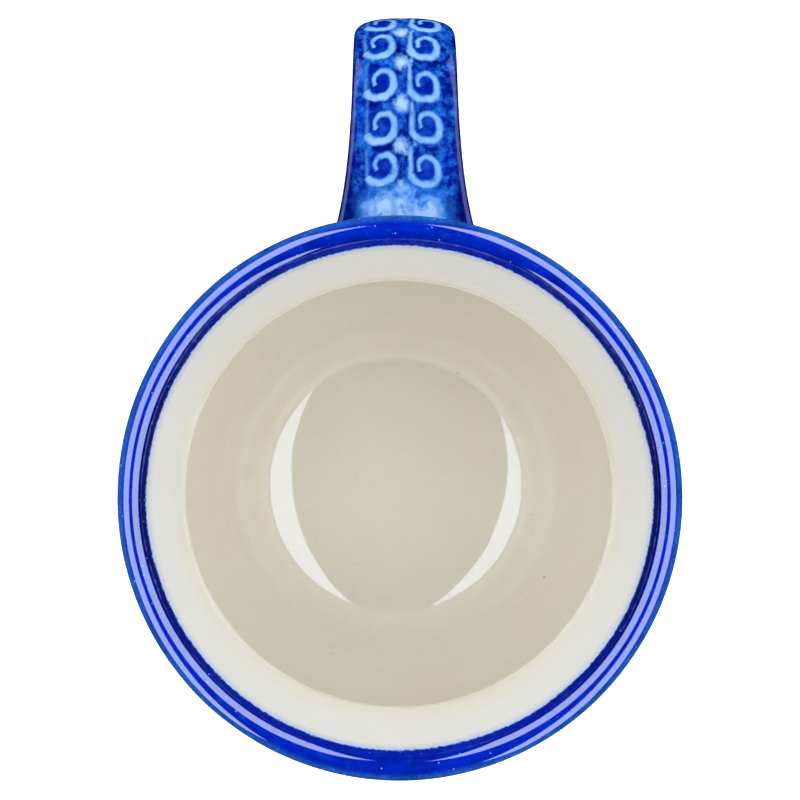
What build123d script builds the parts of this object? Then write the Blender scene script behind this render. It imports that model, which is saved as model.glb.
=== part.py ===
"""Round-bellied stoneware mug with a strap handle, in millimetres.

+Z is up, the cup's axis is the Z axis, and the foot ring stands on z = 0. The handle is on the +X side.
The mug is made the way a pottery makes it: a turned clay cup, a clay strap handle luted to it, and the
fired glaze coats that lie on the clay. Each of these is a piece of its own, and they meet face to face.
"""

import os
from math import copysign, cos, exp, pi, radians, sin

from build123d import *

# ---- driving dimensions, over the glaze ---------------------------------------------------------------
HEIGHT = 95.0  # foot ring to the top of the lip
RIM_RADIUS = 45.2  # outside of the lip
LIP_ROUND = 2.2  # radius of the rounded lip
LIP_FLARE = 22.0  # degrees that the wall leans out below the lip
NECK_RADIUS = 39.5  # outside of the cup at its neck
NECK_HEIGHT = 75.0
BELLY_RADIUS = 45.3  # outside of the cup at its widest
BELLY_HEIGHT = 43.0
WALL = 4.3  # measured level, at the neck and the belly
FLOOR_HEIGHT = 6.6  # top of the cup's floor
FLOOR_FLAT_RADIUS = 15.5  # where the floor starts to curve up into the wall
FOOT_RADIUS = 29.0  # outside of the foot ring
FOOT_RING_WIDTH = 4.4
FOOT_RECESS = 2.3  # depth of the hollow under the cup
FOOT_ROUND = 0.6
RECESS_DRAFT = 0.5  # the ring's inner side leans in by this much for each mm of height

HANDLE_TOP = 84.0  # highest point of the strap, under the lip
HANDLE_REACH = 79.2  # furthest point of the strap from the cup's axis
HANDLE_BEND = 15.0  # outer radius of the strap's top bend
HANDLE_ASIDE = 0.95  # the strap was set this far off the cup's middle, towards -Y
TAIL_HEIGHT = 29.5  # middle of the strap where it meets the belly again
STRAP_THICK = 8.6
STRAP_WIDTH = 16.3
ROOT_SPREAD = 10.1  # extra width of the strap at its upper end
TAIL_SPREAD = 5.0  # and at its lower end
SPREAD_LENGTH = 12.0  # the extra width dies away over about this length
STRAP_POWER = 2.6  # squareness of the strap's section: 2 is an ellipse
SECTION_POINTS = 16
SECTIONS = 15
CURVE_STEPS = 40  # points along a curve that follows another one
JOINT_ROUND = 2.4  # radius worked in around each end of the handle

GLAZE = 0.35  # thickness of every glaze coat
GLAZE_LINE = 3.4  # the outer coat stops this far above the table
BASE_GLAZE_LINE = 1.1  # and the coat inside the foot ring stops here
RIM_BAND_OUTSIDE = 8.0  # the rim's own coat reaches this far down the outside
RIM_BAND_INSIDE = 4.6  # and this far down the inside

# ---- places worked out from them ----------------------------------------------------------------------
# Local x of the sections runs to -X, so that the seams of the revolved faces lie opposite the handle.
section_plane = Plane(origin=(0, 0, 0), x_dir=(-1, 0, 0), z_dir=(0, 1, 0))
flare = radians(LIP_FLARE)
lip_normal = Vector(cos(flare), -sin(flare))
wall_up = Vector(sin(flare), cos(flare))
lip_centre = Vector(RIM_RADIUS - LIP_ROUND, HEIGHT - LIP_ROUND)
foot_inner_radius = FOOT_RADIUS - FOOT_RING_WIDTH
foot_shoulder = Vector(FOOT_RADIUS + 0.8, GLAZE_LINE)
rim_outside = HEIGHT - RIM_BAND_OUTSIDE
rim_inside = HEIGHT - RIM_BAND_INSIDE
beyond = 60.0  # a radius outside the whole cup

# A line that runs up inside the wall, between its two faces.
wall_middle = [
    (FOOT_RADIUS - 2.0, GLAZE_LINE),
    (BELLY_RADIUS - 11.3, BELLY_HEIGHT - 28.0),
    (BELLY_RADIUS - 4.9, BELLY_HEIGHT - 17.0),
    (BELLY_RADIUS - WALL / 2, BELLY_HEIGHT),
    (BELLY_RADIUS - 4.8, BELLY_HEIGHT + 17.0),
    (NECK_RADIUS - WALL / 2, NECK_HEIGHT),
    (NECK_RADIUS + 0.1, NECK_HEIGHT + 9.0),
]
lip_middle = RIM_RADIUS - 3.8
floor_middle = (FLOOR_HEIGHT + FOOT_RECESS) / 2

os.makedirs("parts", exist_ok=True)


# ---- sections of the cup ------------------------------------------------------------------------------
def recess_side(level):
    """Returns the radius of the foot ring's inner side at a height above the table."""
    return foot_inner_radius - RECESS_DRAFT * level


def beneath(curve, skin):
    """Draws a curve that keeps a depth of skin to the left of another one."""
    stations = [k / CURVE_STEPS for k in range(CURVE_STEPS + 1)]
    points = [curve @ t + Vector(-(curve % t).Y, (curve % t).X) * skin for t in stations]
    return Spline(*points)


with BuildLine() as outer_wall:
    Spline(
        foot_shoulder,
        (BELLY_RADIUS - 2.6, BELLY_HEIGHT - 17.5),
        (BELLY_RADIUS, BELLY_HEIGHT),
        (BELLY_RADIUS - 3.0, BELLY_HEIGHT + 19.0),
        (NECK_RADIUS, NECK_HEIGHT),
        lip_centre + lip_normal * LIP_ROUND,
        tangents=[(0.78, 0.62), wall_up],
    )

with BuildLine() as inner_wall:
    Spline(
        lip_centre - lip_normal * LIP_ROUND,
        (NECK_RADIUS - WALL, NECK_HEIGHT),
        (BELLY_RADIUS - WALL - 3.0, BELLY_HEIGHT + 18.0),
        (BELLY_RADIUS - WALL, BELLY_HEIGHT),
        (BELLY_RADIUS - WALL - 4.6, BELLY_HEIGHT - 19.5),
        (FLOOR_FLAT_RADIUS + 15.1, FLOOR_HEIGHT + 8.7),
        (FLOOR_FLAT_RADIUS + 9.8, FLOOR_HEIGHT + 3.25),
        (FLOOR_FLAT_RADIUS + 5.0, FLOOR_HEIGHT + 0.75),
        (FLOOR_FLAT_RADIUS, FLOOR_HEIGHT + 0.04),
        (FLOOR_FLAT_RADIUS / 2, FLOOR_HEIGHT),
        tangents=[-wall_up, (-1, 0)],
    )

with BuildSketch(section_plane) as glazed_section:
    with BuildLine():
        add(outer_wall.line)
        ThreePointArc(outer_wall.line @ 1, lip_centre + Vector(0, LIP_ROUND), inner_wall.line @ 0)
        add(inner_wall.line)
        Polyline(
            inner_wall.line @ 1,
            (0, FLOOR_HEIGHT),
            (0, FOOT_RECESS),
            (recess_side(FOOT_RECESS), FOOT_RECESS),
            (foot_inner_radius, 0),
            (FOOT_RADIUS, 0),
            foot_shoulder,
        )
    make_face()
    fillet(glazed_section.vertices().filter_by_position(Axis.Y, -0.1, 0.1), FOOT_ROUND)

# The clay keeps a coat's depth below that outline, except on the foot ring, which stays bare.
with BuildSketch(section_plane) as clay_section:
    with BuildLine():
        clay_outside = beneath(outer_wall.line, GLAZE)
        clay_inside = beneath(inner_wall.line, GLAZE)
        clay_crest = lip_centre + Vector(0, LIP_ROUND - GLAZE)
        ThreePointArc(clay_outside @ 1, clay_crest, clay_inside @ 0)
        Polyline(
            clay_inside @ 1,
            (0, FLOOR_HEIGHT - GLAZE),
            (0, FOOT_RECESS + GLAZE),
            (recess_side(FOOT_RECESS) + GLAZE, FOOT_RECESS + GLAZE),
            (recess_side(BASE_GLAZE_LINE) + GLAZE, BASE_GLAZE_LINE),
            (recess_side(BASE_GLAZE_LINE), BASE_GLAZE_LINE),
            (foot_inner_radius, 0),
            (FOOT_RADIUS, 0),
            foot_shoulder,
            clay_outside @ 0,
        )
    make_face()
    fillet(clay_section.vertices().filter_by_position(Axis.Y, -0.1, 0.1), FOOT_ROUND)

with BuildSketch(section_plane) as coat_section:
    add(glazed_section.sketch_local)
    add(clay_section.sketch_local, mode=Mode.SUBTRACT)


def envelope(section, crest):
    """Returns a solid of the cup's outer shape with its hollow filled in, up to its crest."""
    with BuildPart() as filled:
        with BuildSketch(section_plane):
            add(section)
            with BuildLine():
                Polyline(
                    (0, BASE_GLAZE_LINE),
                    (foot_inner_radius + 1.0, BASE_GLAZE_LINE),
                    *wall_middle,
                    (lip_centre.X, lip_centre.Y),
                    (lip_centre.X, crest),
                    (0, crest),
                    close=True,
                )
            make_face()
        revolve(axis=Axis.Z)
    return filled.part


def coat(points):
    """Returns the part of the coats that lies inside a polygon, turned about the axis."""
    with BuildPart() as turned:
        with BuildSketch(section_plane):
            add(coat_section.sketch_local)
            with BuildLine():
                Polyline(*points, close=True)
            make_face(mode=Mode.INTERSECT)
        revolve(axis=Axis.Z)
    return turned.part


# ---- the strap of the handle --------------------------------------------------------------------------
bend = HANDLE_BEND - STRAP_THICK / 2
strap_level = HANDLE_TOP - STRAP_THICK / 2
bend_start = HANDLE_REACH - HANDLE_BEND
with BuildLine(Plane.XZ.offset(HANDLE_ASIDE)) as strap_line:
    Line((NECK_RADIUS - 7.5, strap_level), (bend_start, strap_level))
    turn = TangentArc(
        (bend_start, strap_level),
        (bend_start + bend, strap_level - bend),
        tangent=(1, 0),
    )
    Spline(
        turn @ 1,
        (BELLY_RADIUS + 24.5, TAIL_HEIGHT + 18.5),
        (BELLY_RADIUS + 11.0, TAIL_HEIGHT + 2.0),
        (BELLY_RADIUS - 11.3, TAIL_HEIGHT),
        tangents=[(0, -1), (-1, 0.12)],
    )
strap_path = strap_line.wire()


def strap_width(run):
    """Returns the strap's width at a distance along its line, wider towards each end."""
    hidden = 6.0  # length of line inside the cup's wall
    root = ROOT_SPREAD * exp(-max(0.0, run - hidden) / SPREAD_LENGTH)
    tail = TAIL_SPREAD * exp(-max(0.0, strap_path.length - hidden - run) / SPREAD_LENGTH)
    return STRAP_WIDTH + root + tail


def strap(skin):
    """Returns the strap, thinner by skin on every side. Its ends run on inside the cup's wall."""
    with BuildPart() as lofted:
        for index in range(SECTIONS + 1):
            share = index / SECTIONS
            half_width = strap_width(share * strap_path.length) / 2 - skin
            half_thick = STRAP_THICK / 2 - skin
            across = Plane(
                origin=strap_path.position_at(share),
                x_dir=(0, 1, 0),
                z_dir=strap_path.tangent_at(share),
            )
            angles = [2 * pi * k / SECTION_POINTS for k in range(SECTION_POINTS)]
            outline = [
                (
                    half_width * copysign(abs(cos(a)) ** (2 / STRAP_POWER), cos(a)),
                    half_thick * copysign(abs(sin(a)) ** (2 / STRAP_POWER), sin(a)),
                )
                for a in angles
            ]
            with BuildSketch(across):
                with BuildLine():
                    Spline(*outline, periodic=True)
                make_face()
        loft()
    return lofted.part


def joined(cup, handle_strap, radius):
    """Returns the filled cup and the strap as one solid, rounded where they meet."""
    with BuildPart() as whole:
        add(cup)
        add(handle_strap)
        meeting = [
            edge
            for edge in whole.edges()
            if edge.bounding_box().min.X > NECK_RADIUS - 8
            and edge.bounding_box().size.Y > STRAP_WIDTH / 2
            and edge.bounding_box().size.Z > STRAP_THICK / 2
        ]
        fillet(meeting, radius)
    return whole.part


clay_cup = envelope(clay_section.sketch_local, HEIGHT - GLAZE)
clay_mug = joined(clay_cup, strap(GLAZE), JOINT_ROUND + GLAZE)
glazed_cup = envelope(glazed_section.sketch_local, HEIGHT)
glazed_mug = joined(glazed_cup, strap(0), JOINT_ROUND)

# ---- the clay pieces ----------------------------------------------------------------------------------
with BuildPart() as cup_body:
    revolve(clay_section.sketch, axis=Axis.Z)

with BuildPart() as handle:
    add(clay_mug)
    add(clay_cup, mode=Mode.SUBTRACT)

# ---- the glaze coats ----------------------------------------------------------------------------------
with BuildPart() as inner_glaze:
    add(
        coat(
            [
                (0, floor_middle),
                (foot_inner_radius, floor_middle),
                *wall_middle[1:],
                (lip_middle, rim_inside),
                (0, rim_inside),
            ]
        )
    )

with BuildPart() as rim_glaze:
    add(
        coat(
            [
                (0, rim_inside),
                (lip_middle, rim_inside),
                (lip_middle, rim_outside),
                (beyond, rim_outside),
                (beyond, HEIGHT + 1),
                (0, HEIGHT + 1),
            ]
        )
    )

with BuildPart() as outer_glaze:
    add(
        coat(
            [
                *wall_middle,
                (lip_middle, rim_outside),
                (beyond, rim_outside),
                (beyond, GLAZE_LINE - 1.0),
                (FOOT_RADIUS - 2.0, GLAZE_LINE - 1.0),
            ]
        )
    )
    add(clay_mug, mode=Mode.SUBTRACT)

with BuildPart() as base_glaze:
    add(coat([(0, 0), (FOOT_RADIUS - 2.0, 0), (FOOT_RADIUS - 2.0, floor_middle - 1), (0, floor_middle - 1)]))

with BuildPart() as handle_glaze:
    add(glazed_mug)
    add(glazed_cup, mode=Mode.SUBTRACT)
    add(clay_mug, mode=Mode.SUBTRACT)

# ---- write them out -----------------------------------------------------------------------------------
pieces = {
    "cup_body": cup_body,
    "handle": handle,
    "inner_glaze": inner_glaze,
    "rim_glaze": rim_glaze,
    "outer_glaze": outer_glaze,
    "handle_glaze": handle_glaze,
    "base_glaze": base_glaze,
}
for label, piece in pieces.items():
    piece.part.label = label
    export_step(piece.part, f"parts/{label}.step")
    print(label, len(piece.solids()), "solid,", round(piece.part.volume), "mm3")
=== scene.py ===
"""Looks of a round-bellied stoneware mug with a cobalt rim and a strap handle stamped with curls.

Every clay piece and glaze coat of the CAD model gets a finer mesh of the same shape. Sizes in the shape
tables are in millimetres, like the CAD script's, and the meshes are written in metres.
"""

from math import cos, exp, pi, radians, sin

import bmesh
import bpy
import numpy as np
from mathutils import Matrix, Vector, noise


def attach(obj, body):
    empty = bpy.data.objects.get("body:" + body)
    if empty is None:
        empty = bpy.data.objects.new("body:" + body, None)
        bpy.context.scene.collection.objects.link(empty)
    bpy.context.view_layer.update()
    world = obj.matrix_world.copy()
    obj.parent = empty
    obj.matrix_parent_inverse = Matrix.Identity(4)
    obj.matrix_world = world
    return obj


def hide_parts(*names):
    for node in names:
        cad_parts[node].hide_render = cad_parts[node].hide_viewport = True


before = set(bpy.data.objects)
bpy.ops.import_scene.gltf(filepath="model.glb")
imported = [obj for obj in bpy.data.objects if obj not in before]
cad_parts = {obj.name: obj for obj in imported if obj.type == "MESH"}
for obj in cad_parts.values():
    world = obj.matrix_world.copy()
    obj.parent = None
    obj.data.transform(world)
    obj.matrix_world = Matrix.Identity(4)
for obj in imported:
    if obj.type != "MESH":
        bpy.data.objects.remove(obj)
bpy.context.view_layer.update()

MM = 0.001
AROUND = 288  # steps of a turned piece about the axis
STEP = 0.8  # length of a step along the cup's walls, in millimetres
STRAP_AROUND = 112  # steps round the strap's section
STRAP_ROWS = 200  # steps along the strap between its two flared ends
FILLET_ROWS = 9  # steps along each flared end

# ---- the shape, as in the CAD model -------------------------------------------------------------------
HEIGHT = 95.0
RIM_RADIUS = 45.2
LIP_ROUND = 2.2
FLARE = radians(22.0)
NECK = (39.5, 75.0)
BELLY = (45.3, 43.0)
WALL = 4.3
FLOOR_HEIGHT = 6.6
# The bowl's curve between wall and floor: radius, and rise above the floor.
BOWL = [(35.0, 14.2), (33.0, 10.6), (31.0, 7.8), (29.0, 5.7), (27.0, 4.2), (25.0, 3.1)]
BOWL += [(22.9, 2.27), (19.6, 1.38), (17.0, 0.89), (14.0, 0.49), (8.0, 0.1)]
# The throwing ridges inside: height, rise and half width.
RIDGES = [(77.3, 0.08, 0.14), (15.0, 0.06, 0.45)]
FOOT_RADIUS = 29.0
FOOT_INNER = 24.6
FOOT_RECESS = 2.3
FOOT_ROUND = 0.6
RECESS_DRAFT = 0.5
GLAZE = 0.35
GLAZE_LINE = 3.4
BASE_GLAZE_LINE = 1.1
RIM_OUTSIDE = 87.0  # the rim's coat starts here outside
RIM_INSIDE = 90.4  # and ends here inside
PAINTED_EDGE = 92.7  # its cobalt ends here inside, and cream shows below

HANDLE_TOP = 84.0
HANDLE_REACH = 79.2
HANDLE_BEND = 15.0
HANDLE_ASIDE = 0.95  # the strap was set this far off the middle, towards -Y
TAIL_HEIGHT = 29.5
STRAP_THICK = 8.6
STRAP_WIDTH = 16.3
STRAP_POWER = 2.6  # of the strap's section where it bends
FLAT_POWER = 14.0  # and along its flat top
FLAT_RUN = 49.0  # the top is flat from the bend to this far along the strap
FLAT_BLEND = 17.0
ROOT_SPREAD = 10.1  # extra width of the strap at its upper end
TAIL_SPREAD = 5.0  # and at its lower end
SPREAD_LENGTH = 12.0  # the extra width dies away over about this length
HIDDEN_RUN = 6.0  # length of the strap's line inside the cup's wall
ROOT_FLARE = 3.4  # how far the strap's ends flare out along the cup


# ---- curves -------------------------------------------------------------------------------------------
def spline(points, start, end, step):
    """Returns points a step apart on the cubic curve through some points, with given end directions."""
    points = np.array(points, float)
    run = np.concatenate([[0], np.cumsum(np.linalg.norm(np.diff(points, axis=0), axis=1))])
    gap = np.diff(run)
    count = len(points)
    system = np.zeros((count, count))
    right = np.zeros((count, 2))
    system[0, 0] = system[-1, -1] = 1
    right[0] = np.array(start) / np.linalg.norm(start)
    right[-1] = np.array(end) / np.linalg.norm(end)
    for i in range(1, count - 1):
        before, after = gap[i - 1], gap[i]
        system[i, i - 1 : i + 2] = after, 2 * (before + after), before
        slope_before = (points[i] - points[i - 1]) / before
        slope_after = (points[i + 1] - points[i]) / after
        right[i] = 3 * (after * slope_before + before * slope_after)
    slopes = np.linalg.solve(system, right)
    fine = []
    for i in range(count - 1):
        t = np.linspace(0, 1, 60, endpoint=i == count - 2)[:, None]
        fine.append(
            (2 * t**3 - 3 * t**2 + 1) * points[i]
            + (t**3 - 2 * t**2 + t) * gap[i] * slopes[i]
            + (3 * t**2 - 2 * t**3) * points[i + 1]
            + (t**3 - t**2) * gap[i] * slopes[i + 1]
        )
    return respaced(np.concatenate(fine), step)


def lengths(points):
    """Returns how far along a line of points each point is."""
    return np.concatenate([[0], np.cumsum(np.linalg.norm(np.diff(points, axis=0), axis=1))])


def respaced(points, step):
    """Returns the same line with its points evenly spaced."""
    run = lengths(points)
    stations = np.linspace(0, run[-1], max(2, round(run[-1] / step) + 1))
    return np.stack([np.interp(stations, run, points[:, k]) for k in range(points.shape[1])], axis=1)


def arc(centre, radius, start, end, steps):
    """Returns points on an arc in the plane, from one angle to another."""
    angles = np.linspace(start, end, steps + 1)
    return np.array(centre) + radius * np.stack([np.cos(angles), np.sin(angles)], axis=1)


def roof(centre, radius, start, end, steps):
    """Returns an arc whose top is drawn to a soft ridge, like a lip finished between two fingers."""
    line = arc((0, 0), radius, start, end, steps)
    off_top = np.abs(np.degrees(np.linspace(start, end, steps + 1)) - 90)
    ridge = 1.045 * radius * np.sqrt(np.maximum(0, 1 - np.abs(line[:, 0] / radius) ** 1.6))
    share = np.clip((68 - off_top) / 20, 0, 1)
    share = share * share * (3 - 2 * share)
    line[:, 1] += (ridge - line[:, 1]) * share
    return np.array(centre) + line


def joined(*runs):
    """Returns several lines as one, without the points they share."""
    line = [runs[0]]
    for run in runs[1:]:
        line.append(run[1:] if np.allclose(run[0], line[-1][-1], atol=1e-6) else run)
    return np.concatenate(line)


def side_of(points):
    """Returns the unit normals to the left of a line's points."""
    along = np.gradient(points, axis=0)
    along /= np.linalg.norm(along, axis=1)[:, None]
    return np.stack([-along[:, 1], along[:, 0]], axis=1)


def ridged(line, height, tall, half):
    """Returns a falling line with a fine ridge raised on its right at a height."""
    run = lengths(line)
    middle = np.interp(-height, -line[:, 1], run)
    fine = middle + half * np.linspace(-2.8, 2.8, 15)
    stations = np.sort(np.concatenate([run[(run < fine[0]) | (run > fine[-1])], fine]))
    points = np.stack([np.interp(stations, run, line[:, k]) for k in range(2)], axis=1)
    return points - side_of(points) * tall * np.exp(-(((stations - middle) / half) ** 2))[:, None]


# ---- the cup's outline over the glaze, from the foot up, over the lip and down to the floor -----------
lip_centre = np.array([RIM_RADIUS - LIP_ROUND, HEIGHT - LIP_ROUND])
lip_normal = np.array([cos(FLARE), -sin(FLARE)])
wall_up = np.array([sin(FLARE), cos(FLARE)])
foot_shoulder = np.array([FOOT_RADIUS + 0.8, GLAZE_LINE])
outer_wall = spline(
    [
        foot_shoulder,
        (BELLY[0] - 2.6, BELLY[1] - 17.5),
        BELLY,
        (BELLY[0] - 3.0, BELLY[1] + 19.0),
        NECK,
        lip_centre + lip_normal * LIP_ROUND,
    ],
    (0.78, 0.62),
    wall_up,
    STEP,
)
inner_wall = spline(
    [
        lip_centre - lip_normal * LIP_ROUND,
        (NECK[0] - WALL, NECK[1]),
        (BELLY[0] - WALL - 3.0, BELLY[1] + 18.0),
        (BELLY[0] - WALL, BELLY[1]),
        (BELLY[0] - WALL - 4.6, BELLY[1] - 19.5),
        *[(radius, FLOOR_HEIGHT + rise) for radius, rise in BOWL],
        (0.0, FLOOR_HEIGHT),
    ],
    -wall_up,
    (-1, 0),
    STEP,
)
lip = roof(lip_centre, LIP_ROUND, -FLARE, pi - FLARE, 36)
for ridge in RIDGES:
    inner_wall = ridged(inner_wall, *ridge)
outline = joined(outer_wall, lip, inner_wall)
outline[-1, 0] = 0.0
outline_depth = outline + side_of(outline) * GLAZE
outline_depth[-1, 0] = 0.0
crest_at = int(np.argmax(outline[:, 1]))
rim_from = int(np.argmin(np.abs(outline[:crest_at, 1] - RIM_OUTSIDE)))
rim_to = crest_at + int(np.argmin(np.abs(outline[crest_at:, 1] - RIM_INSIDE)))
outline_run = lengths(outline)


def outer_radius(height):
    """Returns the radius of the cup's outside at a height."""
    return np.interp(height, outline[:crest_at, 1], outline[:crest_at, 0])


def recess_side(level):
    """Returns the radius of the foot ring's inner side at a height."""
    return FOOT_INNER - RECESS_DRAFT * level


# ---- meshes -------------------------------------------------------------------------------------------
def wobble(x, y, z):
    """Returns how far a hand-finished wall stands off its true circle, in millimetres."""
    place = Vector((x, y, z))
    slow = noise.noise(place * 0.022 + Vector((3.1, 0.4, 7.7)))
    quick = noise.noise(place * 0.09 + Vector((9.2, 5.5, 1.3)))
    return 0.22 * slow + 0.05 * quick


def build(name, points, faces, texture, sharp=()):
    """Makes a mesh object from points in millimetres, its faces and the faces' texture places."""
    mesh = bpy.data.meshes.new(name)
    mesh.from_pydata([Vector(p) * MM for p in points], [], faces)
    layer = mesh.uv_layers.new(name="Glaze")
    layer.data.foreach_set("uv", np.array(texture, float).ravel())
    mesh.polygons.foreach_set("use_smooth", [True] * len(mesh.polygons))
    if sharp:
        marks = mesh.attributes.new("sharp_edge", "BOOLEAN", "EDGE")
        wanted = {tuple(sorted(pair)) for pair in sharp}
        marks.data.foreach_set("value", [tuple(sorted(e.vertices)) in wanted for e in mesh.edges])
    shell = bmesh.new()
    shell.from_mesh(mesh)
    bmesh.ops.recalc_face_normals(shell, faces=shell.faces)
    shell.to_mesh(mesh)
    shell.free()
    piece = bpy.data.objects.new(name, mesh)
    bpy.context.collection.objects.link(piece)
    return piece


def turned(name, section, runs, corners=()):
    """Turns a section of (radius, height) points about the axis into a closed mesh.

    A section that starts and ends on the axis is open there, any other is closed. runs gives each point's
    place along the glaze, and corners the points where the shading breaks.
    """
    on_axis = section[0][0] < 1e-6
    points, rows = [], []
    for radius, height in section:
        if radius < 1e-6:
            rows.append([len(points)] * AROUND)
            points.append((0.0, 0.0, height))
            continue
        rows.append(list(range(len(points), len(points) + AROUND)))
        for k in range(AROUND):
            angle = 2 * pi * k / AROUND
            x, y = radius * cos(angle), radius * sin(angle)
            grown = 1 + wobble(x, y, height) / 45.0
            points.append((x * grown, y * grown, height))
    faces, texture = [], []
    pairs = list(zip(range(len(rows) - 1), range(1, len(rows))))
    if not on_axis:
        pairs.append((len(rows) - 1, 0))
    for low, high in pairs:
        for k in range(AROUND):
            after = (k + 1) % AROUND
            ring = [
                (rows[low][k], k, low),
                (rows[low][after], k + 1, low),
                (rows[high][after], k + 1, high),
                (rows[high][k], k, high),
            ]
            kept = [ring[i] for i in range(4) if ring[i][0] != ring[i - 1][0]]
            faces.append([corner[0] for corner in kept])
            texture += [(corner[1] / AROUND, runs[corner[2]]) for corner in kept]
    sharp = [(rows[c][k], rows[c][(k + 1) % AROUND]) for c in corners for k in range(AROUND)]
    return build(name, points, faces, texture, sharp)


def coat(name, start, end):
    """Makes the glaze coat between two points of the cup's outline."""
    over, under = outline[start : end + 1], outline_depth[start : end + 1]
    run = outline_run[start : end + 1]
    section = np.concatenate([over, under[::-1]])
    runs = np.concatenate([run, run[::-1]])
    if over[-1][0] < 1e-6:
        # It ends on the axis, so the section starts there, under the coat, and comes back over it.
        section = np.concatenate([under[::-1], over])
        runs = np.concatenate([run[::-1], run])
        return turned(name, section, runs, corners=(len(over) - 1, len(over)))
    last = len(section) - 1
    return turned(name, section, runs, corners=(0, len(over) - 1, len(over), last))


outer_coat = coat("outer_glaze_coat", 0, rim_from)
rim_coat = coat("rim_glaze_coat", rim_from, rim_to)
inner_coat = coat("inner_glaze_coat", rim_to, len(outline) - 1)

foot_outer_end = arc((FOOT_RADIUS - FOOT_ROUND, FOOT_ROUND), FOOT_ROUND, -pi / 2, radians(13), 5)
foot_inner_end = arc((FOOT_INNER + FOOT_ROUND + 0.12, FOOT_ROUND), FOOT_ROUND, radians(207), 1.5 * pi, 5)
ring_inside = np.array([[recess_side(BASE_GLAZE_LINE), BASE_GLAZE_LINE]])
clay_section = np.concatenate(
    [
        [[0.0, FOOT_RECESS + GLAZE]],
        [[recess_side(FOOT_RECESS) + GLAZE, FOOT_RECESS + GLAZE]],
        [[recess_side(BASE_GLAZE_LINE) + GLAZE, BASE_GLAZE_LINE]],
        ring_inside,
        foot_inner_end,
        foot_outer_end,
        [foot_shoulder],
        outline_depth,
    ]
)
cup_clay = turned("cup_clay", clay_section, np.zeros(len(clay_section)), corners=(1, 2, 3, 16, 17))
base_section = np.array(
    [
        [0.0, FOOT_RECESS],
        [recess_side(FOOT_RECESS) - 0.5, FOOT_RECESS],
        [recess_side(FOOT_RECESS) - 0.1, FOOT_RECESS - 0.12],
        [recess_side(FOOT_RECESS - 0.5), FOOT_RECESS - 0.5],
        [recess_side(BASE_GLAZE_LINE), BASE_GLAZE_LINE],
        [recess_side(BASE_GLAZE_LINE) + GLAZE, BASE_GLAZE_LINE],
        [recess_side(FOOT_RECESS) + GLAZE, FOOT_RECESS + GLAZE],
        [0.0, FOOT_RECESS + GLAZE],
    ]
)
base_coat = turned("base_glaze_coat", base_section[::-1], np.zeros(len(base_section)), corners=(1, 2, 3))

# ---- the strap ----------------------------------------------------------------------------------------
bend = HANDLE_BEND - STRAP_THICK / 2
level = HANDLE_TOP - STRAP_THICK / 2
bend_start = HANDLE_REACH - HANDLE_BEND
strap_start = NECK[0] - 7.5
straight = [(strap_start + k, level) for k in range(int(bend_start - strap_start))]
strap_line = joined(
    np.array([*straight, (bend_start, level)]),
    arc((bend_start, level - bend), bend, pi / 2, 0, 30),
    spline(
        [
            (bend_start + bend, level - bend),
            (BELLY[0] + 24.5, TAIL_HEIGHT + 18.5),
            (BELLY[0] + 11.0, TAIL_HEIGHT + 2.0),
            (BELLY[0] - 11.3, TAIL_HEIGHT),
        ],
        (0, -1),
        (-1, 0.12),
        0.5,
    ),
)
strap_line = respaced(strap_line, 0.25)
strap_run = lengths(strap_line)
strap_side = side_of(strap_line)  # towards the outside of the loop


def strap_width(run):
    """Returns the strap's width, wider towards each end."""
    root = ROOT_SPREAD * exp(-max(0.0, run - HIDDEN_RUN) / SPREAD_LENGTH)
    tail = TAIL_SPREAD * exp(-max(0.0, strap_run[-1] - HIDDEN_RUN - run) / SPREAD_LENGTH)
    return STRAP_WIDTH + root + tail


def section_shape(run):
    """Returns the unit outline of the strap's section: flat on top at first, rounder from the bend on."""
    share = np.clip((FLAT_RUN - run) / FLAT_BLEND, 0, 1)
    power = 2 / (STRAP_POWER + (FLAT_POWER - STRAP_POWER) * share * share * (3 - 2 * share))
    fine = np.linspace(0, 2 * pi, 2001)
    shape = np.stack(
        [
            np.sign(np.cos(fine)) * np.abs(np.cos(fine)) ** power,
            np.sign(np.sin(fine)) * np.abs(np.sin(fine)) ** power,
        ],
        axis=1,
    )
    stretched = shape * [2.0, 1.0]  # the strap is about twice as wide as thick
    step = np.diff(stretched, axis=0)
    heading = np.unwrap(np.arctan2(step[:, 1], step[:, 0]))
    turning = np.concatenate([[0], np.cumsum(np.abs(np.diff(heading, prepend=heading[0])))])
    # The points stand closer where the outline turns faster.
    place = lengths(stretched) / 10.0 + turning / (2 * pi)
    stations = np.linspace(0, place[-1], STRAP_AROUND, endpoint=False)
    return np.stack([np.interp(stations, place, shape[:, k]) for k in range(2)], axis=1)


sections = np.array([section_shape(run) for run in strap_run])


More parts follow.
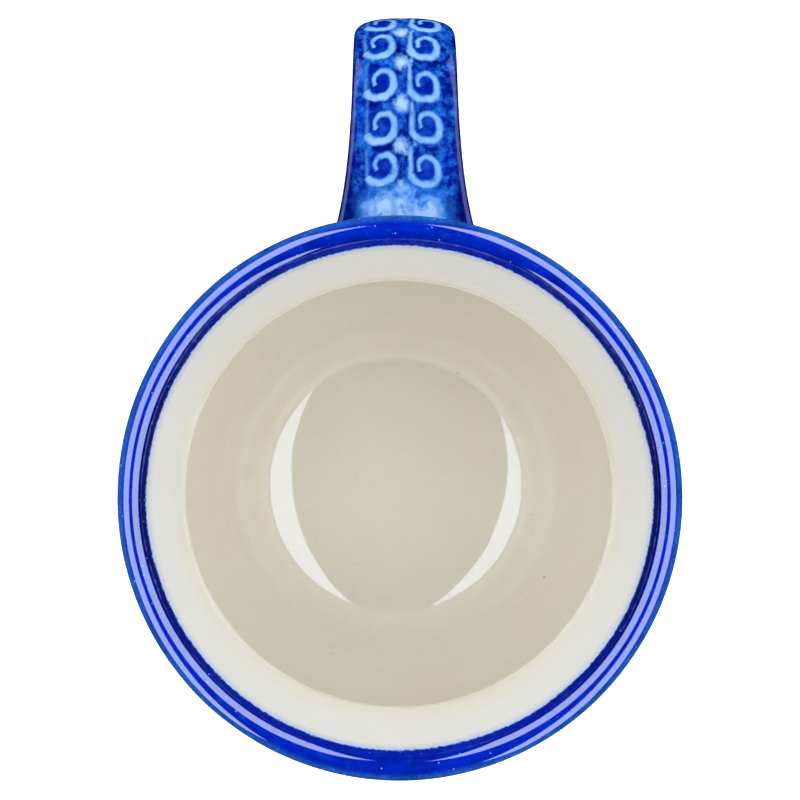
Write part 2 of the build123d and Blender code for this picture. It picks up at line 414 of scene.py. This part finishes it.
def strap_skin(skin, reach):
    """Returns rows of points over the strap, flared out onto the cup at both ends.

    skin is the depth below the glaze, and reach how far the flare runs along the cup.
    """
    widths = np.array([strap_width(run) for run in strap_run]) / 2 - skin
    thick = STRAP_THICK / 2 - skin
    # grid[station, place round] in space
    grid = np.zeros((len(strap_line), STRAP_AROUND, 3))
    grid[:, :, 0] = strap_line[:, 0, None] + strap_side[:, 0, None] * sections[:, :, 1] * thick
    grid[:, :, 2] = strap_line[:, 1, None] + strap_side[:, 1, None] * sections[:, :, 1] * thick
    grid[:, :, 1] = -widths[:, None] * sections[:, :, 0] - HANDLE_ASIDE
    off_cup = np.hypot(grid[:, :, 0], grid[:, :, 1]) - (outer_radius(grid[:, :, 2]) - skin)
    columns = []
    for k in range(STRAP_AROUND):
        outside = np.nonzero(off_cup[:, k] > 0)[0]
        run_from, run_to = strap_run[outside[0]], strap_run[outside[-1]]
        line = grid[:, k]

        def at(run):
            return np.array([np.interp(run, strap_run, line[:, axis]) for axis in range(3)])

        def flared(meet, into_strap):
            corner, inner = at(meet), at(into_strap)
            section = grid[int(np.searchsorted(strap_run, meet)) % len(grid)]
            out = corner - section.mean(axis=0)
            radial = np.array([corner[0], corner[1], 0]) / np.hypot(corner[0], corner[1])
            slope = outer_radius(corner[2] + 0.5) - outer_radius(corner[2] - 0.5)
            normal = radial - np.array([0, 0, slope])
            normal /= np.linalg.norm(normal)
            tangent = section[(k + 1) % STRAP_AROUND] - section[k - 1]
            away = np.cross(tangent, normal)
            away /= np.linalg.norm(away)
            if np.dot(away, out) < 0:
                away = -away
            foot = corner + away * reach
            wanted = outer_radius(foot[2]) - skin - 0.05
            foot[:2] *= wanted / np.hypot(foot[0], foot[1])
            t = np.linspace(0, 1, FILLET_ROWS)[:, None]
            return (1 - t) ** 2 * foot + 2 * t * (1 - t) * corner + t**2 * inner

        first = flared(run_from, run_from + reach)
        last = flared(run_to, run_to - reach)[::-1]
        stations = np.linspace(run_from + reach, run_to - reach, STRAP_ROWS)
        middle = np.array([at(run) for run in stations])
        columns.append(np.concatenate([first[:-1], middle, last[1:]]))
    return np.stack(columns, axis=1)


def tube(name, over, under):
    """Makes a closed mesh from an outer grid and, for a coat, an inner one. A solid's ends are capped."""
    count = len(over)
    points = [tuple(p) for row in over for p in row]
    sheets = [0]
    if under is not None:
        sheets.append(len(points))
        points += [tuple(p) for row in under for p in row]
    faces, texture = [], []
    for base in sheets:
        for i in range(count - 1):
            for k in range(STRAP_AROUND):
                quad = [(i, k), (i, k + 1), (i + 1, k + 1), (i + 1, k)]
                faces.append([base + row * STRAP_AROUND + column % STRAP_AROUND for row, column in quad])
                texture += [strap_place(row, column, k) for row, column in quad]
    sharp = []
    for i in (0, count - 1):
        outer, inner = (
            [base + i * STRAP_AROUND + k for k in range(STRAP_AROUND)] for base in (sheets[0], sheets[-1])
        )
        if under is None:
            faces.append(outer)
            texture += [(0.0, 0.0)] * STRAP_AROUND
            sharp += [(outer[k], outer[k - 1]) for k in range(STRAP_AROUND)]
            continue
        for k in range(STRAP_AROUND):
            faces.append([outer[k], inner[k], inner[k - 1], outer[k - 1]])
            texture += [strap_place(i, k, k)] * 4
            sharp += [(outer[k], outer[k - 1]), (inner[k], inner[k - 1])]
    return build(name, points, faces, texture, sharp)


glaze_rows = strap_skin(0.0, ROOT_FLARE)
clay_rows = strap_skin(GLAZE, ROOT_FLARE - 0.2)
crown = STRAP_AROUND // 4  # the place round the section that faces out of the loop
underside = crown + STRAP_AROUND // 2
# Runs along the strap are the distance from the cup's axis on the level part, and go on from there.
crown_run = lengths(glaze_rows[:, crown])
crown_run += 50.0 - np.interp(50.0, glaze_rows[:60, crown, 0], crown_run[:60])
rounds = [lengths(np.concatenate([row, row[:1]])) for row in glaze_rows]


def strap_place(row, column, quad_column):
    """Returns a corner's place on the strap in millimetres: across it from the crown, and along it."""
    run = rounds[row]
    place = run[crown] - run[column]
    if quad_column >= underside:
        place += run[-1]
    return place, crown_run[row]


handle_coat = tube("handle_glaze_coat", glaze_rows, clay_rows)
handle_clay = tube("handle_clay", clay_rows, None)


# ---- node maths ---------------------------------------------------------------------------------------
class Value:
    """A number that varies over a surface. Arithmetic on it adds nodes to the material."""

    def __init__(self, tree, socket):
        self.tree = tree
        self.socket = socket

    def math(self, operation, *others):
        node = self.tree.nodes.new("ShaderNodeMath")
        node.operation = operation
        for slot_number, given in enumerate((self, *others)):
            feed(self.tree, given, node.inputs[slot_number])
        return Value(self.tree, node.outputs[0])

    def __add__(self, other):
        return self.math("ADD", other)

    def __sub__(self, other):
        return self.math("SUBTRACT", other)

    def __mul__(self, other):
        return self.math("MULTIPLY", other)

    def __truediv__(self, other):
        return self.math("DIVIDE", other)

    def __pow__(self, other):
        return self.math("POWER", other)

    def __abs__(self):
        return self.math("ABSOLUTE")

    def higher(self, other):
        return self.math("MAXIMUM", other)

    def lower(self, other):
        return self.math("MINIMUM", other)

    def above(self, other):
        return self.math("GREATER_THAN", other)

    def flipped(self):
        """Returns 1 where the value is 0, and 0 where it is 1."""
        return self * -1.0 + 1.0

    def repeat(self, period):
        """Returns the value wrapped into half a period on each side of zero."""
        return (self + period / 2).math("FLOORED_MODULO", period) - period / 2

    def rise(self, low, high):
        """Returns 0 below low and 1 above high, with a smooth rise between them."""
        node = self.tree.nodes.new("ShaderNodeMapRange")
        node.interpolation_type = "SMOOTHSTEP"
        feed(self.tree, self, node.inputs["Value"])
        feed(self.tree, low, node.inputs["From Min"])
        feed(self.tree, high, node.inputs["From Max"])
        return Value(self.tree, node.outputs["Result"])

    def fall(self, low, high):
        """Returns 1 below low and 0 above high, with a smooth fall between them."""
        return self.rise(low, high).flipped()


def feed(tree, given, socket):
    """Links a Value to a socket, or sets the socket to a number."""
    if isinstance(given, Value):
        tree.links.new(given.socket, socket)
    else:
        socket.default_value = given


def srgb(red, green, blue):
    """Returns a display colour, 0 to 255, as the linear colour that nodes take."""
    parts = [c / 255 for c in (red, green, blue)]
    return tuple(c / 12.92 if c < 0.04045 else ((c + 0.055) / 1.055) ** 2.4 for c in parts) + (1.0,)


class Glaze:
    """A node material for glazed or bare pottery, with the places on the surface that its patterns read."""

    def __init__(self, name, roughness, gloss=0.9, sheen=(1.0, 1.0, 1.0)):
        self.material = bpy.data.materials.new(name)
        self.material.use_nodes = True
        self.tree = self.material.node_tree
        self.shader = self.tree.nodes["Principled BSDF"]
        self.shader.inputs["Roughness"].default_value = roughness
        self.shader.inputs["IOR"].default_value = 1.6
        self.shader.inputs["Specular IOR Level"].default_value = gloss
        self.shader.inputs["Specular Tint"].default_value = (*sheen, 1)
        where = self.tree.nodes.new("ShaderNodeTexCoord")
        self.where = where.outputs["Object"]
        split_where = self.tree.nodes.new("ShaderNodeSeparateXYZ")
        self.tree.links.new(self.where, split_where.inputs[0])
        self.x, self.y, self.z = (Value(self.tree, out) * 1000.0 for out in split_where.outputs)
        texture = self.tree.nodes.new("ShaderNodeUVMap")
        texture.uv_map = "Glaze"
        split_texture = self.tree.nodes.new("ShaderNodeSeparateXYZ")
        self.tree.links.new(texture.outputs[0], split_texture.inputs[0])
        self.u, self.v = (Value(self.tree, split_texture.outputs[k]) for k in range(2))

    def noise(self, size_mm, detail=2.0, roughness=0.5, offset=0.0):
        """Returns noise about 0, mostly within half on each side, with features of a size."""
        shifted = self.tree.nodes.new("ShaderNodeVectorMath")
        shifted.operation = "ADD"
        self.tree.links.new(self.where, shifted.inputs[0])
        shifted.inputs[1].default_value = (offset, offset * 0.7, -offset * 1.3)
        node = self.tree.nodes.new("ShaderNodeTexNoise")
        self.tree.links.new(shifted.outputs[0], node.inputs["Vector"])
        node.inputs["Scale"].default_value = 1000.0 / size_mm
        node.inputs["Detail"].default_value = detail
        node.inputs["Roughness"].default_value = roughness
        return Value(self.tree, node.outputs["Fac"]) - 0.5

    def dots(self, spacing_mm, radius_mm, kept, offset=0.0):
        """Returns 1 on small round dots scattered about a spacing apart. kept is the share that shows."""
        shifted = self.tree.nodes.new("ShaderNodeVectorMath")
        shifted.operation = "ADD"
        self.tree.links.new(self.where, shifted.inputs[0])
        shifted.inputs[1].default_value = (offset, -offset, offset * 0.5)
        node = self.tree.nodes.new("ShaderNodeTexVoronoi")
        self.tree.links.new(shifted.outputs[0], node.inputs["Vector"])
        node.inputs["Scale"].default_value = 1000.0 / spacing_mm
        chance = self.tree.nodes.new("ShaderNodeSeparateColor")
        self.tree.links.new(node.outputs["Color"], chance.inputs[0])
        first, second = (Value(self.tree, chance.outputs[k]) for k in range(2))
        reach = (second * 0.7 + 0.6) * (radius_mm / spacing_mm)
        spot = (Value(self.tree, node.outputs["Distance"]) / reach).fall(0.55, 1.1)
        return spot * (first * -1.0 + kept).above(0.0)

    def chance(self, value):
        """Returns a number from 0 to 1 that differs at random between whole values."""
        node = self.tree.nodes.new("ShaderNodeTexWhiteNoise")
        node.noise_dimensions = "1D"
        feed(self.tree, value, node.inputs["W"])
        return Value(self.tree, node.outputs["Value"])

    def mix(self, under, over, share):
        """Returns a colour socket: over laid on under by a share. Either is a colour or a socket."""
        node = self.tree.nodes.new("ShaderNodeMix")
        node.data_type = "RGBA"
        node.clamp_factor = True
        feed(self.tree, share, node.inputs["Factor"])
        for given, socket in ((under, node.inputs[6]), (over, node.inputs[7])):
            if isinstance(given, tuple):
                socket.default_value = given
            else:
                self.tree.links.new(given, socket)
        return node.outputs[2]

    def finish(self, colour, roughness=None, relief=None, relief_mm=0.1):
        """Links the colour, and where given the roughness and the relief, to the shader."""
        self.tree.links.new(colour, self.shader.inputs["Base Color"])
        if roughness is not None:
            feed(self.tree, roughness, self.shader.inputs["Roughness"])
        if relief is not None:
            bump = self.tree.nodes.new("ShaderNodeBump")
            bump.inputs["Distance"].default_value = relief_mm * MM
            feed(self.tree, relief, bump.inputs["Height"])
            self.tree.links.new(bump.outputs[0], self.shader.inputs["Normal"])
        return self.material


# ---- glaze colours ------------------------------------------------------------------------------------
CREAM = srgb(249, 246, 236)
CREAM_WARM = srgb(245, 239, 222)
CREAM_LIP = srgb(241, 242, 239)
CREAM_GRAIN = srgb(214, 210, 198)
SPECK = srgb(132, 98, 66)
HALO = srgb(190, 216, 255)
COBALT = srgb(0, 42, 206)
COBALT_DEEP = srgb(0, 8, 108)
COBALT_THIN = srgb(42, 108, 200)
CALM = srgb(0, 32, 168)
SPONGED = srgb(44, 138, 232)
STAMPED = srgb(142, 194, 250)
STAMPED_PALE = srgb(184, 222, 255)
PINHOLE = srgb(170, 190, 235)
BLUE_SHEEN = (0.95, 1.0, 1.0)  # tint of the highlights on cobalt
BARE_CLAY = srgb(196, 176, 148)
BARE_CLAY_DARK = srgb(160, 134, 104)
GRIT = srgb(120, 92, 66)


def cream(glaze):
    """Returns the colour of clear glaze over pale stoneware, with its iron specks, whiter and cooler
    towards the lip partly as painted light.
    """
    tint = glaze.mix(CREAM, CREAM_WARM, glaze.noise(26.0, 3.0) * 1.6 + 0.4)
    grain = glaze.noise(0.9, 2.0, offset=2.0).rise(0.08, 0.4)
    fine = glaze.mix(tint, CREAM_GRAIN, grain * 0.35)
    # It is whiter and cooler towards the lip: partly thinner glaze, partly painted light where the lip
    # takes more light than the deep inside.
    lip_side = glaze.mix(fine, CREAM_LIP, glaze.z.rise(75.0, 88.0))
    specks = glaze.dots(6.5, 0.22, 0.4) * 0.8
    return glaze.mix(lip_side, SPECK, specks)


def distance(x, y):
    """Returns the distance from the middle of a pattern."""
    return (x**2.0 + y**2.0) ** 0.5


def curl_stamp(x, y, stem, pitch):
    """Returns 0 to 1 over a stamped curl: a hook round the middle and a stem up its left side.

    x and y are millimetres from the middle of the curl, and pitch is the height of the row it repeats by.
    """
    power = 2.4
    reach = (abs(x) ** power + abs(y) ** power) ** (1 / power)
    overlap = radians(22)
    turn = (y.math("ARCTAN2", x * -1.0) + overlap).math("FLOORED_MODULO", 2 * pi) - overlap
    line = turn.rise(0.0, radians(125)) * 1.2 + turn * (0.42 / (2 * pi)) + 0.84
    half = turn.rise(radians(-20), radians(270)) * 0.24 + 0.17
    hook = (abs(reach - line) - half).fall(-0.3, 0.5)
    parts = []
    for height in (y, y + pitch):
        middle = abs(x + 2.3 - height * 0.06)
        width = height.fall(-1.0, 4.6) * 0.2 + 0.06
        parts.append((middle - width).fall(-0.3, 0.5) * height.rise(-1.9, -0.9) * height.fall(3.2, 5.0))
    return hook.higher(parts[0].higher(parts[1]) * stem)


def sponged(glaze):
    """Returns the colour of sponged cobalt, dark and light."""
    patches = glaze.noise(4.2, 3.0, 0.6, offset=5.0)
    clusters = glaze.noise(1.5, 4.0, 0.66, offset=1.0)
    light = (patches * 1.0 + clusters * 1.9 + 0.06).rise(-0.14, 0.6)
    base = glaze.mix(COBALT_DEEP, COBALT, patches * 2.2 + clusters * 1.2 + 0.45)
    return glaze.mix(base, SPONGED, light)


# ---- the materials ------------------------------------------------------------------------------------
def inside_material():
    """Returns clear glaze over the pale clay, for inside the cup and under its foot."""
    glaze = Glaze("cream glaze", 0.05)
    relief = glaze.noise(14.0, 1.0) * 0.8 + glaze.noise(2.6, 1.0) * 0.06
    return glaze.finish(cream(glaze), glaze.noise(5.0) * 0.03 + 0.05, relief, 0.06)


def rim_material():
    """Returns cobalt over the lip, with a ragged painted edge above the cream inside."""
    glaze = Glaze("cobalt rim glaze", 0.06, 1.0, BLUE_SHEEN)
    inside = glaze.v.above(float(outline_run[crest_at]))
    ragged = glaze.noise(0.75, 3.0, 0.7) * 1.3 + glaze.noise(14.0, 1.0) * 0.7
    # The painted edge hangs lower on the handle's side and opposite it, and pools dark on the other two;
    # its paler edge on the handle's side and opposite it is painted reflection.
    handle_side = (glaze.x / RIM_RADIUS) ** 2.0
    # How far a point inside stands above the edge. Every point outside stands far above it.
    outside = inside.flipped()
    level = (glaze.z - PAINTED_EDGE + ragged) * inside + outside * 9.0
    inner_edge = level + handle_side * 0.7
    outer_edge = glaze.z.fall(94.2, 94.95) * glaze.z.rise(89.5, 92.5) * outside
    body = glaze.mix(COBALT, COBALT_THIN, outer_edge * (glaze.noise(0.6, 2.0) * 1.6 + 0.8))
    dark = glaze.mix(body, COBALT_DEEP, (glaze.noise(4.0, 4.0, 0.65) * 1.9 + 0.12).higher(0.0))
    light = (glaze.noise(2.2, 4.0, 0.75, offset=8.0) * 1.6 - 0.12).higher(0.0)
    mottled = glaze.mix(dark, SPONGED, light)
    # Dark pooled cobalt along the edge: partly thicker pigment, partly painted reflection where it fades on
    # the handle's side and opposite it.
    pooled_and_reflection = glaze.mix(mottled, COBALT_DEEP, level.fall(1.5, 2.5) * (handle_side * -0.85 + 1.0))
    faded = glaze.mix(HALO, pooled_and_reflection, inner_edge.rise(-0.25, 0.35))
    ground = glaze.mix(cream(glaze), faded, inner_edge.rise(-1.7, 0.2))
    pinholes = glaze.dots(1.15, 0.13, 0.42, offset=3.0) * 0.85
    colour = glaze.mix(ground, PINHOLE, pinholes * inner_edge.rise(0.3, 0.6))
    # The thick edge inside mirrors hardly anything, so its refractive index is set near that of air.
    thick = level.fall(1.2, 1.8) * inner_edge.rise(-0.8, -0.2)
    feed(glaze.tree, thick * -0.64 + 1.7, glaze.shader.inputs["IOR"])
    relief = glaze.noise(9.0, 1.0) * 0.8 + glaze.noise(1.8, 1.0) * 0.04
    return glaze.finish(colour, glaze.noise(4.0) * 0.03 + 0.06, relief, 0.05)


def handle_material():
    """Returns sponged cobalt with two columns of stamped curls and a row of pale blobs between them."""
    glaze = Glaze("stamped handle glaze", 0.08, 0.3, BLUE_SHEEN)
    ground = sponged(glaze)
    pitch = 6.95  # from one row of curls to the next
    left, right, between = -4.1, 3.25, -0.42  # middles of the two columns, and the line between them
    along = glaze.v - 53.3  # from the first whole row
    left_column = (glaze.u - between).fall(-0.01, 0.01)
    row = (along / pitch + 0.5).math("FLOOR")
    # Each stamp lands a little off its place, turned a little, with more or less colour.
    aside, ahead, tilt, press = (glaze.chance(row + left_column * 40.0 + 13.0 * k) for k in range(4))
    shake_x, shake_y = (glaze.noise(1.1, 2.0, offset=3.0 * k) * 0.5 for k in (1, 2))
    flat_x = glaze.u + left_column * (right - left) - right + (aside - 0.5) * 0.5
    flat_y = along - row * pitch + (ahead - 0.5) * 0.7
    lean = (tilt - 0.5) * 0.24
    x = flat_x - flat_y * lean + shake_x
    y = flat_y + flat_x * lean + shake_y
    stamp = curl_stamp(x, y, left_column * -0.62 + 1.0, pitch)
    wear = glaze.noise(1.9, 3.0, 0.65, offset=9.0) * 1.5 + press * 0.25 + 0.72
    off_middle = abs(glaze.u)
    on_face = off_middle.fall(6.6, 8.4)
    # The stamp keeps the sponge off the ground round a curl.
    resist = distance(x, y).fall(2.0, 3.6) * on_face
    calm = glaze.mix(ground, CALM, resist * 0.7)
    # Pale blobs stand between the columns, half a row off the curls.
    blob = distance(glaze.u + 0.55, (along - pitch / 2).repeat(pitch))
    blobs = (blob + glaze.noise(1.3, 3.0, 0.7) * 2.6).fall(0.1, 2.1) * 0.75
    dotted = glaze.mix(glaze.mix(calm, SPONGED, blobs * 1.3), STAMPED_PALE, blobs.rise(0.05, 0.9))
    # Pale swirls are laid over the strap's root, where the curls are fainter too.
    root = glaze.v.fall(46.5, 52.0) * off_middle.fall(3.6, 9.6)
    swirl = (root * (glaze.noise(2.6, 3.0, 0.6, offset=12.0) * 3.4 + 0.95)).lower(1.0)
    paled_root = glaze.mix(glaze.mix(dotted, SPONGED, swirl * 1.6), STAMPED_PALE, swirl.rise(0.3, 1.15))
    pale = glaze.mix(STAMPED, STAMPED_PALE, y.fall(-3.0, -1.4) * 0.4)
    inked = stamp * wear * on_face * (glaze.v.rise(46.5, 51.5) * 0.6 + 0.4)
    colour = glaze.mix(glaze.mix(paled_root, SPONGED, inked * 1.6), pale, inked.rise(0.02, 0.98))
    # Its long edges are darkened: painted shade where the strap's rounded sides turn away from the light.
    edges = glaze.mix(colour, COBALT_DEEP, off_middle.rise(7.6, 9.4) * off_middle.fall(13.5, 16.0) * 0.85)
    relief = glaze.noise(6.0, 1.0) * 0.8 + glaze.noise(1.2, 1.0) * 0.08
    return glaze.finish(edges, glaze.noise(3.0) * 0.04 + 0.08, relief, 0.05)


def outside_material():
    """Returns sponged cobalt with bands of stamped curls and of dots between pale lines."""
    glaze = Glaze("stamped body glaze", 0.08, 0.8, BLUE_SHEEN)
    colour = sponged(glaze)
    top = float(outline_run[rim_from])
    pitch = 8.0
    curl_bands = [(31, top - 4.4, 1), (36, top - 50.6, 4), (30, top - 75.0, 1)]  # curls, lowest row, rows
    for count, first_row, rows in curl_bands:
        x = (glaze.u * float(count)).repeat(1.0) * 7.9 + glaze.noise(2.2, 2.0) * 0.35
        height = glaze.v - first_row
        y = height.repeat(pitch) + glaze.noise(2.2, 2.0, offset=7.0) * 0.35
        inside = height.rise(-4.0, -3.9) * height.fall(rows * pitch - 4.1, rows * pitch - 4.0)
        resist = distance(x, y).fall(2.6, 4.0)
        calm = glaze.mix(colour, CALM, resist * inside * 0.7)
        pale = glaze.mix(STAMPED, STAMPED_PALE, y.fall(-3.0, -1.4) * 0.6)
        wear = glaze.noise(2.4, 3.0, offset=9.0) * 0.9 + 0.92
        colour = glaze.mix(calm, pale, curl_stamp(x, y, 0.8, pitch) * inside * wear)
    dotted_bands = [(top - 12.5, 62), (top - 62.5, 68)]  # middle line, dots
    for middle, count in dotted_bands:
        off = abs(glaze.v - middle)
        colour = glaze.mix(colour, COBALT, off.fall(3.0, 3.3) * 0.95)
        lines = (abs(off - 2.9) + glaze.noise(1.5, 2.0) * 0.3).fall(0.12, 0.4)
        colour = glaze.mix(colour, STAMPED_PALE, lines * 0.9)
        spot_x = (glaze.u * float(count)).repeat(1.0) * 4.1
        spot = (distance(spot_x, off) + glaze.noise(1.2, 2.0) * 0.35).fall(0.75, 1.15)
        colour = glaze.mix(colour, STAMPED_PALE, spot * 0.9)
    plain = glaze.z.fall(7.2, 7.5).higher(glaze.z.rise(84.6, 85.0))  # at the foot and under the rim
    colour = glaze.mix(colour, COBALT, plain)
    colour = glaze.mix(colour, COBALT_DEEP, glaze.z.fall(3.5, 4.3) * 0.8)
    relief = glaze.noise(9.0, 1.0) * 0.8 + glaze.noise(1.2, 1.0) * 0.06
    return glaze.finish(colour, glaze.noise(3.0) * 0.05 + 0.09, relief, 0.1)


def clay_material():
    """Returns bare fired stoneware."""
    glaze = Glaze("bare stoneware", 0.8, 0.3)
    colour = glaze.mix(BARE_CLAY, BARE_CLAY_DARK, glaze.noise(4.0, 4.0) * 1.4 + 0.35)
    gritty = glaze.mix(colour, GRIT, glaze.dots(1.6, 0.14, 0.5))
    relief = glaze.noise(0.5, 3.0, 0.7) + glaze.noise(6.0, 2.0)
    return glaze.finish(gritty, glaze.noise(1.0) * 0.15 + 0.78, relief, 0.15)


# ---- pieces, bodies and finishes ----------------------------------------------------------------------
cream_glaze = inside_material()
clay = clay_material()
made = [
    (cup_clay, "cup_body", "bare_stoneware", clay),
    (handle_clay, "handle", "bare_stoneware", clay),
    (inner_coat, "inner_glaze", "cream_glaze", cream_glaze),
    (rim_coat, "rim_glaze", "cobalt_glaze", rim_material()),
    (outer_coat, "outer_glaze", "stamped_body_glaze", outside_material()),
    (handle_coat, "handle_glaze", "stamped_handle_glaze", handle_material()),
    (base_coat, "base_glaze", "cream_glaze", cream_glaze),
]
for piece, node, finish, material in made:
    piece.data.materials.append(material)
    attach(piece, "root")
    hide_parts(node)

# ---- floor, light and camera --------------------------------------------------------------------------
bpy.ops.mesh.primitive_plane_add(size=24.0, location=(0, 0, -0.0002))
floor = bpy.context.object
floor.name = "studio_floor"
floor_material = bpy.data.materials.new("studio floor")
floor_material.use_nodes = True
floor_shader = floor_material.node_tree.nodes["Principled BSDF"]
floor_shader.inputs["Base Color"].default_value = (0.93, 0.93, 0.93, 1)
floor_shader.inputs["Roughness"].default_value = 0.9
floor_shader.inputs["Emission Color"].default_value = (1, 1, 1, 1)
floor_shader.inputs["Emission Strength"].default_value = 0.8
floor.data.materials.append(floor_material)
floor.visible_glossy = False  # the floor doesn't show in the glaze, so the glaze keeps dark edges


def area_light(name, place, width, height, radiance, in_glaze):
    """Hangs a soft light that shows in the glaze alone or on matt surfaces alone, never to the camera."""
    light = bpy.data.lights.new(name, "AREA")
    light.shape = "RECTANGLE"
    light.size = width
    light.size_y = height
    light.energy = radiance * pi * width * height
    light.color = (0.72, 0.8, 1.0) if in_glaze else (1, 1, 1)
    lamp = bpy.data.objects.new(name, light)
    lamp.matrix_world = place
    lamp.visible_camera = False
    lamp.visible_glossy = in_glaze
    lamp.visible_diffuse = not in_glaze
    bpy.context.collection.objects.link(lamp)


def softbox(name, side, swing, top, handle_end, gloss_radiance, radiance):
    """Hangs a long softbox over one side of the mug, tilted to face it.

    swing turns it about the mug towards the handle, in degrees. top is how far its upper edge stays from
    straight overhead, and handle_end how far it reaches towards the handle.
    """
    low, high = Vector((0, side * 0.62, 0.32)), Vector((0, side * top, 0.80))
    back_end = 2.1
    up = (high - low).normalized()
    back = up.cross(Vector((1, 0, 0))) * side
    turn = Matrix((up.cross(back), up, back)).transposed().to_4x4()
    about_mug = Matrix.Rotation(radians(-side * swing), 4, "Z")
    middle = (low + high) / 2 + Vector(((handle_end - back_end) / 2, 0, 0))
    place = about_mug @ Matrix.Translation(middle) @ turn
    area_light(name + "_gloss", place, back_end + handle_end, (high - low).length, gloss_radiance, True)
    behind = about_mug @ Matrix.Translation((low + high) / 2 + back * 0.03) @ turn
    area_light(name + "_soft", behind, 2.4, (high - low).length, radiance, False)


softbox("softbox_left", 1, 18, 0.33, 0.75, 3.5, 1.42)
softbox("softbox_right", -1, 9, 0.3, 1.1, 3.5, 1.42)
area_light("overhead", Matrix.Translation((0, 0, 1.2)), 1.0, 1.0, 1.8, False)
for name, end, radiance in (("fill_handle", 1, 0.7), ("fill_back", -1, 1.1)):
    facing = Vector((end, 0, 0.42)).to_track_quat("Z", "Y").to_matrix().to_4x4()
    area_light(name, Matrix.Translation((end, 0, 0.5)) @ facing, 1.0, 0.4, radiance, False)

world = bpy.data.worlds.new("studio")
bpy.context.scene.world = world
world.use_nodes = True
world.node_tree.nodes["Background"].inputs["Color"].default_value = (1, 1, 1, 1)
world.node_tree.nodes["Background"].inputs["Strength"].default_value = 1.0
world.cycles_visibility.glossy = False
world.cycles_visibility.diffuse = False

camera_data = bpy.data.cameras.new("camera")
camera_data.sensor_width = 36.0
camera_data.lens = 147.15
camera_data.shift_x = 0.03875
camera_data.shift_y = -0.0075
camera_data.clip_end = 10.0
camera = bpy.data.objects.new("camera", camera_data)
camera.location = (0.0165, 0.0049, 0.615)
camera.rotation_euler = (0, 0, -pi / 2)
bpy.context.collection.objects.link(camera)
bpy.context.scene.camera = camera
bpy.context.scene.view_settings.view_transform = "Standard"
